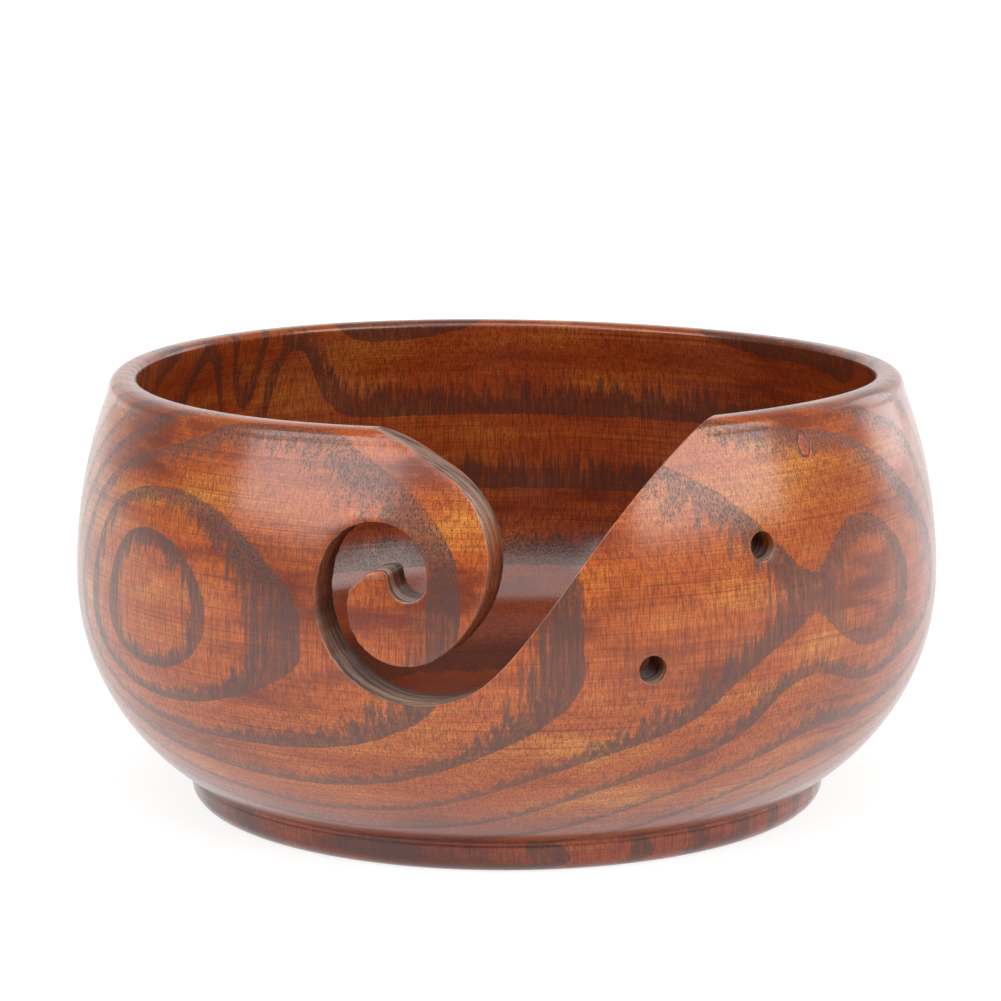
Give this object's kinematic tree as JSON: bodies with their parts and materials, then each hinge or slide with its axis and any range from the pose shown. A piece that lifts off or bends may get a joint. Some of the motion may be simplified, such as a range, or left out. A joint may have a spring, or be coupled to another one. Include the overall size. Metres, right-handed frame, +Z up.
{
  "type": "yarn bowl",
  "caption": "Turned wooden yarn bowl on a low foot, with a scroll-shaped slot that guides the yarn and small holes for needle tips.",
  "frame": {"origin": "on the axis of turning, at the plane the foot stands on", "axes": "+Z up along the axis of turning, -Y towards the scroll slot (the front), +X to the right seen from the front"},
  "size_m": [0.152, 0.152, 0.076],
  "materials": {
    "lacquered_wood": "red-brown stained wood with bold dark growth rings and open pores under a satin lacquer; the sawn faces of the slot are greyer and duller"
  },
  "bodies": {
    "root": {"bowl": "lacquered_wood"}
  },
  "joints": []
}
